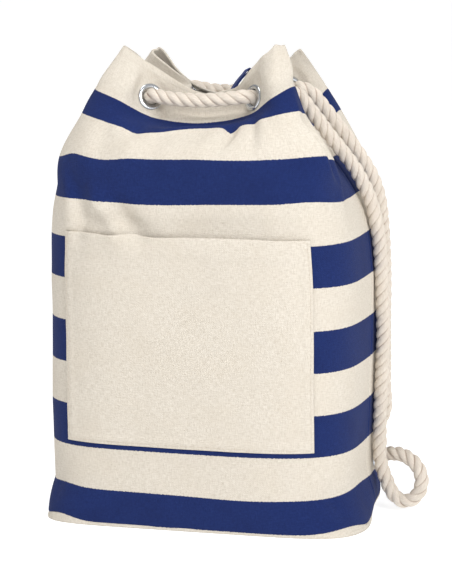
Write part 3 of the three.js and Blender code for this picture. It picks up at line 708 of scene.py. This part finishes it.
def navy_tape(name):
    """Herringbone tape."""
    shader = Shader(name, Specular_IOR_Level=0.2, Sheen_Weight=0.15)
    place, across, up = shader.cloth_place()
    folded = shader.math("PINGPONG", across, 0.0012)
    slant = shader.math("SINE", shader.math("MULTIPLY", shader.math("ADD", up, folded), 2 * math.pi / 0.0009))
    worn = shader.noise(place, (700, 700, 1), 2)
    colour = shader.mix(
        shader.between(slant, -1, 1), (0.014, 0.024, 0.12, 1), (0.035, 0.06, 0.25, 1)
    )
    colour = shader.mix(shader.between(worn, 0.4, 0.8, 0, 0.3), colour, (0.07, 0.1, 0.3, 1))
    return shader.finish(
        Base_Color=colour,
        Roughness=shader.between(worn, 0.2, 0.8, 0.7, 0.95),
        Normal=shader.bump(slant, 0.0002, 0.6),
    )


# ---------------------------------------------------------------- camera, light and floor
def add_camera():
    azimuth, elevation = math.radians(14.92), math.radians(9.81)
    away = Vector((
        math.sin(azimuth) * math.cos(elevation),
        -math.cos(azimuth) * math.cos(elevation),
        math.sin(elevation),
    ))
    data = bpy.data.cameras.new("camera")
    data.sensor_width = 36
    data.lens = 187.9
    data.shift_x, data.shift_y = 0.01666, -0.01675
    data.clip_end = 20
    camera = bpy.data.objects.new("camera", data)
    camera.location = Vector((0, CENTRE_SHIFT * MM, 0.2185)) + 2.931 * away
    camera.rotation_euler = away.to_track_quat("Z", "Y").to_euler()
    bpy.context.scene.collection.objects.link(camera)
    bpy.context.scene.camera = camera


def add_light(name, place, size, power, colour=(1, 1, 1)):
    data = bpy.data.lights.new(name, "AREA")
    data.shape = "SQUARE"
    data.size, data.energy, data.color = size, power, colour
    light = bpy.data.objects.new(name, data)
    light.location = place
    towards = Vector((0, 0, 0.22)) - light.location
    light.rotation_euler = towards.to_track_quat("-Z", "Y").to_euler()
    bpy.context.scene.collection.objects.link(light)


def add_studio():
    """A white sweep: pale overhead, brighter at the horizon, and a floor that stays white."""
    world = bpy.data.worlds.new("studio")
    bpy.context.scene.world = world
    world.use_nodes = True
    nodes, links = world.node_tree.nodes, world.node_tree.links
    direction = nodes.new("ShaderNodeTexCoord")
    height = nodes.new("ShaderNodeSeparateXYZ")
    brightness = nodes.new("ShaderNodeMapRange")
    brightness.inputs["From Min"].default_value = 0.0
    brightness.inputs["From Max"].default_value = 0.15
    brightness.inputs["To Min"].default_value = 1.15
    brightness.inputs["To Max"].default_value = 0.50
    left = nodes.new("ShaderNodeMapRange")
    left.inputs["From Min"].default_value = -1.0
    left.inputs["From Max"].default_value = -0.3
    left.inputs["To Min"].default_value = 0.70
    left.inputs["To Max"].default_value = 1.0
    both = nodes.new("ShaderNodeMath")
    both.operation = "MULTIPLY"
    links.new(direction.outputs["Generated"], height.inputs[0])
    links.new(height.outputs["Z"], brightness.inputs["Value"])
    links.new(height.outputs["X"], left.inputs["Value"])
    links.new(brightness.outputs[0], both.inputs[0])
    links.new(left.outputs[0], both.inputs[1])
    links.new(both.outputs[0], nodes["Background"].inputs["Strength"])
    nodes["Background"].inputs["Color"].default_value = (1, 0.985, 0.965, 1)
    bpy.context.scene.view_settings.view_transform = "Standard"
    add_light("key", (1.55, -1.55, 1.25), 0.8, 32, (0.985, 0.99, 1.0))
    add_light("top", (-0.35, -0.5, 2.3), 1.2, 24)
    half = 8.0
    mesh = bpy.data.meshes.new("floor")
    corners = [(-half, -half, 0), (half, -half, 0), (half, half, 0), (-half, half, 0)]
    mesh.from_pydata(corners, [], [(0, 1, 2, 3)])
    floor = bpy.data.objects.new("floor", mesh)
    bpy.context.scene.collection.objects.link(floor)
    shader = Shader("floor", Roughness=0.9, Specular_IOR_Level=0.1)
    shader.surface.inputs["Emission Color"].default_value = (1, 1, 1, 1)
    shader.surface.inputs["Emission Strength"].default_value = 0.77
    grain = shader.noise(shader.add("ShaderNodeTexCoord", output=3), (40, 40, 40), 2)
    mesh.materials.append(shader.finish(
        Base_Color=shader.mix(grain, (0.46, 0.46, 0.46, 1), (0.48, 0.48, 0.48, 1))
    ))


# ---------------------------------------------------------------- rope
def through(name, distances):
    centre, normal = EYELETS[name]
    return [centre + distance * normal for distance in distances]


def metres(points):
    return [np.array(point) / MM for point in points]


def rope_points():
    """The rope's whole way: from the low knot up the front strand, round the mouth and down."""
    inward, outward = (7, -2, -9), (-9, -2, 7)
    return [
        *through("anchor_low", [-ROPE_TAIL, -16, -8, 0, 6]),
        *metres(FRONT_STRAND),
        *through("right_front", [ROPE_CUT + 6, ROPE_CUT, 3, -3, -9]),
        *through("front_right", outward),
        *metres(FRONT_RUN),
        *through("front_left", inward),
        *through("left_front", outward),
        *metres(LEFT_RUN),
        *through("left_back", inward),
        *through("back_left", outward),
        *metres(BACK_RUN),
        *through("back_right", inward),
        *through("right_back", [-9, -3, 3, ROPE_CUT, ROPE_CUT + 6]),
        *metres(BACK_STRAND),
        *through("anchor_high", [5, 0, -8, -16, -ROPE_TAIL]),
    ]


def carried_frames(line):
    """Tangents and two crossing directions that turn as little as they can along the line."""
    tangents = unit(np.gradient(line, axis=0))
    normal = unit(np.cross(tangents[0], (0.0, 0.0, 1.0) if abs(tangents[0][2]) < 0.9 else (1.0, 0, 0)))
    normals = []
    for tangent in tangents:
        normal = unit(normal - tangent * (normal @ tangent))
        normals.append(normal)
    normals = np.array(normals)
    return tangents, normals, np.cross(tangents, normals)


def twisted(line, run, scale=1.0, sides=14):
    """Points, faces, uvs and groove depth of three right-laid strands round a line; the groove depth drives
    the rope's painted groove shade.
    """
    _, normals, crossings = carried_frames(line)
    points, faces, uvs, groove_shade = [], [], [], []
    around = 2 * np.pi * np.arange(sides + 1) / sides
    for strand in range(3):
        turn = 2 * np.pi * (run / LAY + strand / 3)
        outward = np.cos(turn)[:, None] * normals + np.sin(turn)[:, None] * crossings
        centre = line + STRAND_OUT * scale * outward
        along = unit(np.gradient(centre, axis=0))
        out = unit(outward - along * np.sum(outward * along, axis=1, keepdims=True))
        side = np.cross(along, out)
        radius = STRAND_RADIUS * scale * (1 + 0.02 * np.sin(run / 7 + strand))
        wide = radius[:, None, None] * 1.1 * np.sin(around)[None, :, None] * side[:, None]
        tall = radius[:, None, None] * np.cos(around)[None, :, None] * out[:, None]
        ring = centre[:, None] + wide + tall
        from_axis = np.linalg.norm(ring - line[:, None], axis=2) / (scale * ROPE / 2)
        start = sum(len(p) for p in points)
        points.append(ring.reshape(-1, 3))
        faces.append(grid_faces(len(line), sides + 1, start=start))
        place = np.stack(np.broadcast_arrays(
            (turn[:, None] * 7 + STRAND_RADIUS * 1.3 * np.sin(around)[None]) * MM, run[:, None] * MM,
        ), axis=-1)
        uvs.append(place.reshape(-1, 2))
        # how deep each point lies between the strands, used for the painted shade in the grooves
        groove_shade.append(np.clip((0.98 - from_axis) / 0.33, 0, 1).ravel())
        for end, flip in ((0, False), (len(line) - 1, True)):
            cap = start + end * (sides + 1) + np.arange(sides)
            faces.append([tuple(cap[::-1] if flip else cap)])
    faces = [tuple(face) for group in faces for face in group]
    return np.concatenate(points), faces, np.concatenate(uvs), np.concatenate(groove_shade)


KNOT_SIZE, KNOT_BACK, KNOT_ROPE = 4.3, 15.4, 0.86


def add_knot(name, anchor, material):
    """A stopper knot: the rope's end looped through itself, seen only from inside."""
    centre, normal = EYELETS[anchor]
    side = unit(np.cross(normal, (0.0, 0.0, 1.0)))
    up = np.cross(normal, side)
    t = np.linspace(0, 2 * np.pi, 121)[:-1]
    a = np.sin(t) + 2 * np.sin(2 * t)
    b = np.cos(t) - 2 * np.cos(2 * t)
    c = -1.5 * np.sin(3 * t)
    middle = centre - normal * (ROPE_TAIL + KNOT_BACK)
    loop = middle + KNOT_SIZE * (a[:, None] * side + b[:, None] * up + c[:, None] * normal)
    line, run = smooth_line(np.concatenate([loop, loop[:1]]), 1.5)
    run = run * (LAY * round(run[-1] / LAY) / run[-1])
    points, faces, uvs, groove_shade = twisted(line, run, KNOT_ROPE)
    return add_mesh(name, points, faces, uvs, [material], shade=groove_shade)


def add_rope(material):
    line, run = smooth_line(rope_points(), 1.5)
    points, faces, uvs, groove_shade = twisted(line, run)
    rope = add_mesh("sling_rope", points, faces, uvs, [material], shade=groove_shade)
    ride(rope, "cotton_rope", "rope_front_strand", "rope_mouth_line", "rope_back_strand")
    for level in ("low", "high"):
        knot = add_knot(f"stopper_knot_{level}", f"anchor_{level}", material)
        ride(knot, "cotton_rope", f"knot_{level}")


# ---------------------------------------------------------------- canvas panels
def print_height(around, height):
    """Where a place lies in the stripe pattern, in metres: navy where it is in an even 40 mm."""
    rise = seam_rise(around)
    low = (height - rise) * 20 / (20 - rise)
    level = np.where(height < 20, low, height)
    level = level + 2 * smoothstep(290, 310, level)
    return level * MM


def cloth_thickness(height):
    return CLOTH + (FACING - CLOTH) * smoothstep(FACING_LEVEL - 1, FACING_LEVEL + 1, height)


def add_panel(name, columns, materials, node):
    """Half of the wall: its outside, the folded edge of the mouth, and its inside with the facing."""
    outer = CLOTH_POINTS[:, columns]
    normals = CLOTH_NORMALS[:, columns]
    around = np.broadcast_to(AROUND[columns], outer.shape[:2])
    heights = np.broadcast_to(HEIGHTS[:, None], outer.shape[:2])
    thick = cloth_thickness(heights)[..., None]
    inner = outer - normals * thick
    up = unit(outer[-1] - outer[-2])
    rim = []
    for angle in np.radians([15, 45, 75, 105, 135, 165]):
        inward = normals[-1] * FACING / 2 * (1 - np.cos(angle))
        rim.append(outer[-1] - inward + up * FACING / 2 * np.sin(angle))
    rim = np.array(rim)
    rows = np.concatenate([outer, rim, inner[::-1]])
    rows[..., 2] = np.maximum(rows[..., 2], 0)
    levels = np.concatenate([heights, np.full(rim.shape[:2], MOUTH_EDGE + 1.0), heights[::-1]])
    around = np.broadcast_to(AROUND[columns], levels.shape)
    uvs = np.stack([around * MM, print_height(around, levels)], axis=-1)
    faces = pierced(closed_profile(rows), outer, len(rows))
    row = faces[:, 0] // rows.shape[1]
    facing_rows = len(HEIGHTS) + len(rim) + np.sum(HEIGHTS > FACING_LEVEL)
    facing = (row >= len(HEIGHTS) - 1) & (row < facing_rows)
    piece = add_mesh(
        name, rows.reshape(-1, 3), faces, uvs.reshape(-1, 2), materials, slots=np.where(facing, 1, 0)
    )
    return ride(piece, "striped_canvas", node)


def pierced(faces, outer, row_count):
    """Takes the faces out of each eyelet's bore, and joins the two sides round the hole."""
    columns = outer.shape[1]
    middle = (outer[:-1, :-1] + outer[1:, 1:]) / 2
    away = np.min([np.linalg.norm(middle - centre, axis=-1) for centre, _ in EYELETS.values()], axis=0)
    hole = away < BORE + 1.6
    r, c = np.nonzero(hole)
    gone = np.concatenate([r * columns + c, (row_count - 2 - r) * columns + c])
    first = faces[:, 0]
    is_cell = np.arange(len(faces)) < row_count * (columns - 1)
    kept = faces[~(is_cell & np.isin(first, gone))]
    walls = []
    corners = {
        (0, -1): ((1, 0), (0, 0)),
        (0, 1): ((0, 1), (1, 1)),
        (-1, 0): ((0, 0), (0, 1)),
        (1, 0): ((1, 1), (1, 0)),
    }
    for i, j in zip(r, c):
        for (up, along), ends in corners.items():
            if hole[i + up, j + along]:
                continue
            start, end = [(i + a, j + b) for a, b in ends]
            walls.append([
                start[0] * columns + start[1], end[0] * columns + end[1],
                (row_count - 1 - end[0]) * columns + end[1], (row_count - 1 - start[0]) * columns + start[1],
            ])
    return np.concatenate([kept, np.array(walls)])


def add_base(material):
    """The base: a flat sheet whose rim turns up a little inside the foot of the wall."""
    outline, normals = CLOTH_POINTS[0, :-1], CLOTH_NORMALS[0, :-1]
    out = unit(normals * (1, 1, 0))
    centre = outline.mean(axis=0)

    def ring(inset, z, share=1.0):
        return centre + (outline - out * inset - centre) * (share, share, 0) + (0, 0, z)

    under = [ring(6, 0, 0.1), ring(6, 0, 0.5), ring(6, 0), ring(2, 0.1), ring(0.9, 0.7), ring(0.6, 2.2)]
    over = [ring(2.0, 4.0), ring(2.6, 2.4), ring(6, 1.6), ring(6, 1.6, 0.5), ring(6, 1.6, 0.1)]
    rings = np.array(under + over)
    count = len(outline)
    i, j = np.meshgrid(np.arange(len(rings) - 1), np.arange(count), indexing="ij")
    nextto = (j + 1) % count
    sides = np.stack([
        i * count + j, i * count + nextto, (i + 1) * count + nextto, (i + 1) * count + j,
    ], axis=-1).reshape(-1, 4)
    last = (len(rings) - 1) * count
    faces = [*sides, np.arange(count)[::-1], np.arange(last, last + count)]
    piece = add_mesh("base", rings.reshape(-1, 3), faces, rings[..., :2].reshape(-1, 2) * MM, [material])
    return ride(piece, "natural_canvas", "base_panel")


# ---------------------------------------------------------------- pocket
POCKET_THICK = 1.3
HEM_DEPTH = 20


def pocket_lift(around, height):
    """How far the pocket's inner face stands off the wall."""
    across = np.clip(1 - np.abs(around / POCKET_HALF) ** 4, 0, 1)
    up = np.clip((height - POCKET_LOW) / (POCKET_HIGH - POCKET_LOW), 0, 1)
    slack = 5.6 * across * up**1.3
    slack = slack + 0.5 * across * ripple(around, height, 11, 45) * smoothstep(0, 0.2, up)
    return 0.25 + slack


def pocket_place(around, height):
    """Where a place of the pocket lies on the cloth: its sides lean and its hem droops a little."""
    up = (height - POCKET_LOW) / (POCKET_HIGH - POCKET_LOW)
    right = (around / POCKET_HALF + 1) / 2
    lean = right * (3.2 - 4.8 * up) - (1 - right) * (0.2 + 1.4 * up)
    wobble = 0.5 * np.sin(height / 31) * around / POCKET_HALF
    droop = 1.2 * (1 - (around / POCKET_HALF) ** 2) * up
    return around + lean + wobble, height - droop


def pocket_thickness(around, height):
    side = smoothstep(10, 8, POCKET_HALF - np.abs(around))
    foot = smoothstep(10, 8, height - POCKET_LOW)
    hem = smoothstep(HEM_DEPTH + 1, HEM_DEPTH - 1, POCKET_HIGH - height)
    return POCKET_THICK + 0.7 * np.clip(side + foot + hem, 0, 1.3)


def edged_steps(low, high):
    """Steps of 2 mm, with finer ones at both ends for the rolled edge."""
    close = np.array([0, 0.6, 1.4])
    return np.concatenate([low + close, np.arange(low + 3, high - 2, 2.0), high - close[::-1]])


def add_pocket(material):
    columns = edged_steps(-POCKET_HALF, POCKET_HALF)
    rows = edged_steps(POCKET_LOW, POCKET_HIGH)
    around, heights = np.meshgrid(columns, rows)
    edge = np.minimum(POCKET_HALF - np.abs(around), np.minimum(heights - POCKET_LOW, POCKET_HIGH - heights))
    roll = 1 - np.sqrt(1 - (1 - np.clip(edge / 1.4, 0, 1)) ** 2)
    thick = pocket_thickness(around, heights)
    lift = pocket_lift(around, heights)
    stitched = sum(
        np.exp(-(((edge_gap - 3) / 1.0) ** 2))
        for edge_gap in (POCKET_HALF - np.abs(around), heights - POCKET_LOW)
    ) + np.exp(-(((POCKET_HIGH - heights - HEM_DEPTH + 2) / 1.0) ** 2))
    place = pocket_place(around, heights)
    outer, _ = on_cloth(*place, lift + thick * (1 - 0.5 * roll) - 0.25 * np.clip(stitched, 0, 1))
    inner, _ = on_cloth(*place, lift + thick * 0.5 * roll)
    grid = np.concatenate([outer, inner[::-1]])
    uv = np.stack([around * MM + 1.37, heights * MM + 0.31], axis=-1)
    uvs = np.concatenate([uv, uv[::-1]])
    faces = closed_profile(grid)
    piece = add_mesh("patch_pocket", grid.reshape(-1, 3), faces, uvs.reshape(-1, 2), [material])
    return ride(piece, "natural_canvas", "pocket_panel")


# ---------------------------------------------------------------- stitches
def stitch_mesh(name, line, normals, material):
    """A row of thread stitches along a line on the cloth."""
    run = np.concatenate([[0], np.cumsum(np.linalg.norm(np.diff(line, axis=0), axis=1))])
    pitch = STITCH + STITCH_GAP
    count = max(1, int(run[-1] / pitch))
    t = np.linspace(0, 1, 6)
    s = (np.arange(count) * pitch + STITCH_GAP / 2)[:, None] + STITCH * t
    centre = np.stack([np.interp(s, run, line[:, i]) for i in range(3)], axis=-1)
    normal = unit(np.stack([np.interp(s, run, normals[:, i]) for i in range(3)], axis=-1))
    centre = centre + normal * (0.42 * THREAD * np.sin(np.pi * t) - 0.15)[None, :, None]
    along = unit(np.gradient(centre, axis=1))
    side = np.cross(normal, along)
    around = 2 * np.pi * np.arange(6) / 6
    radius = THREAD / 2 * np.sqrt(np.clip(np.sin(np.pi * np.clip(t, 0.04, 0.96)), 0, 1))
    ring = centre[:, :, None] + radius[None, :, None, None] * (
        np.cos(around)[None, None, :, None] * side[:, :, None]
        + np.sin(around)[None, None, :, None] * normal[:, :, None]
    )
    points = ring.reshape(-1, 3)
    i, j = np.meshgrid(np.arange(len(t) - 1), np.arange(6), indexing="ij")
    one = np.stack([i * 6 + j, i * 6 + (j + 1) % 6, (i + 1) * 6 + (j + 1) % 6, (i + 1) * 6 + j], -1)
    faces = (one.reshape(1, -1, 4) + (np.arange(count) * len(t) * 6)[:, None, None]).reshape(-1, 4)
    piece = add_mesh(name, points, faces[:, ::-1], materials=[material])
    return ride(piece, "natural_canvas")


def spread_line(places, step=2.0):
    """Evenly spaced places along a line through (around, height) corners."""
    places = np.array(places, float)
    gaps = np.linalg.norm(np.diff(places, axis=0), axis=1)
    run = np.concatenate([[0], np.cumsum(gaps)])
    at = np.linspace(0, run[-1], int(run[-1] / step) + 2)
    return np.interp(at, run, places[:, 0]), np.interp(at, run, places[:, 1])


def on_pocket(around, height):
    """Points on the pocket's outer face, and the normals there."""
    lift = pocket_lift(around, height) + pocket_thickness(around, height)
    return on_cloth(*pocket_place(around, height), lift)


def add_stitches(material):
    left, right = -POCKET_HALF + 3, POCKET_HALF - 3
    low, high = POCKET_LOW + 3, POCKET_HIGH - 2
    tack = 9
    lines = {
        "mouth_stitches": (on_cloth, [(-SIDE, HEM_STITCH), (GIRTH - SIDE, HEM_STITCH)]),
        "facing_stitches": (on_cloth, [(-SIDE, FACING_LEVEL + 2), (GIRTH - SIDE, FACING_LEVEL + 2)]),
        "pocket_stitches": (on_pocket, [(left, high), (left, low), (right, low), (right, high)]),
    }
    for name, side, inward in (("pocket_tack_right", right, -tack), ("pocket_tack_left", left, tack)):
        corners = [(side + inward, high), (side, high), (side, high - tack), (side + inward, high)]
        lines[name] = (on_pocket, corners)
    for name, (surface, places) in lines.items():
        line, normals = surface(*spread_line(places))
        stitch_mesh(name, line, normals, material)


# ---------------------------------------------------------------- eyelets
def add_eyelets(material):
    crown = 1.6
    flange = [(FLANGE, 0.1), (FLANGE, 0.6)]
    for angle in np.radians(np.arange(15, 180, 15)):
        flange.append((
            (FLANGE + BORE) / 2 + (FLANGE - BORE) / 2 * np.cos(angle), 0.6 + (crown - 0.6) * np.sin(angle),
        ))
    flange += [(BORE, 0.4), (BORE, -FACING - 0.9)]
    flange += [(BORE + 0.8, -FACING - 1.3), (BORE + 1.8, -FACING - 0.9)]
    flange += [(BORE + 0.8, -FACING - 0.7), (BORE + 0.8, 0.1)]
    washer = [
        (FLANGE - 0.3, -FACING - 0.5), (FLANGE - 0.3, -FACING - 0.1),
        (BORE + 1.1, -FACING - 0.1), (BORE + 1.1, -FACING - 0.7),
        (FLANGE - 2.5, -FACING - 1.0), (FLANGE - 1.0, -FACING - 0.9),
    ]
    for name, (centre, normal) in EYELETS.items():
        for kind, profile in (("eyelet", flange), ("washer", washer)):
            points, faces = turned(profile, 48, centre, normal)
            piece = add_mesh(f"{kind}_ring_{name}", points, faces, materials=[material])
            ride(piece, "nickel", f"{kind}_{name}")


# ---------------------------------------------------------------- hanging loop
LOOP_SPINE = [(0, 40.2, 389.5), (5.5, 42, 400.5), (11.5, 44, 410), (20.5, 46, 419.5)]
LOOP_TURN = (0.72, -0.6, 0.34)
TAPE, TAPE_WIDTH = 1.0, 7.0
LOOP_CLOSED, LOOP_SWELL = 0.7, 4.0


def add_hanging_loop(material):
    """One tape from the root up one side, round the tip and back down the other side."""
    spine, run = smooth_line(LOOP_SPINE, 0.25)
    across = unit(np.array(LOOP_TURN))
    turn = np.radians(np.arange(6, 357, 3))
    rise = (1 - np.cos(turn)) / 2
    at = rise * run[-1]
    centre = np.stack([np.interp(at, run, spine[:, i]) for i in range(3)], axis=1)
    tangent = unit(np.stack([np.interp(at, run, g) for g in np.gradient(spine, axis=0).T], axis=1))
    sideways = unit(np.cross(across, tangent))
    apart = LOOP_CLOSED + LOOP_SWELL * np.abs(np.sin(turn)) * np.sin(turn / 2) ** 24
    path = centre + sideways * (np.sign(np.sin(turn).round(6)) * apart)[:, None]
    normals = unit(np.cross(np.gradient(path, axis=0), across))
    wide, high, bevel = TAPE_WIDTH / 2, TAPE / 2, 0.2
    section = [
        (bevel - wide, high), (0, high), (wide - bevel, high),
        (wide, high - bevel), (wide, bevel - high),
        (wide - bevel, -high), (0, -high), (bevel - wide, -high),
        (-wide, bevel - high), (-wide, high - bevel),
    ]
    length = np.concatenate([[0], np.cumsum(np.linalg.norm(np.diff(path, axis=0), axis=1))])
    rows = np.array([path + across * width + normals * lift for width, lift in section])
    uvs = np.array([np.stack([np.full(len(path), width * MM), length * MM], -1) for width, _ in section])
    faces = [tuple(face[::-1]) for face in grid_faces(len(section), len(path), wrap_rows=True)]
    columns = len(path)
    faces.append(tuple(np.arange(len(section)) * columns))
    faces.append(tuple(np.arange(len(section))[::-1] * columns + columns - 1))
    piece = add_mesh("tape_loop", rows.reshape(-1, 3), faces, uvs.reshape(-1, 2), [material], smooth=False)
    return ride(piece, "navy_tape", "hanging_loop")


# ---------------------------------------------------------------- the whole sack
add_camera()
rope_material = cotton_rope("cotton_rope")
add_rope(rope_material)
add_studio()

striped = striped_canvas("striped_canvas")
natural = natural_canvas("natural_canvas")
half = GIRTH // 4
front = add_panel("front_canvas", np.arange(0, half + 1), [striped, natural], "front_panel")
back = add_panel("back_canvas", np.arange(half, 2 * half + 1), [striped, natural], "back_panel")
base = add_base(natural)
pocket = add_pocket(natural)
add_stitches(sewing_thread("sewing_thread"))
add_eyelets(nickel("nickel"))
add_hanging_loop(navy_tape("navy_tape"))
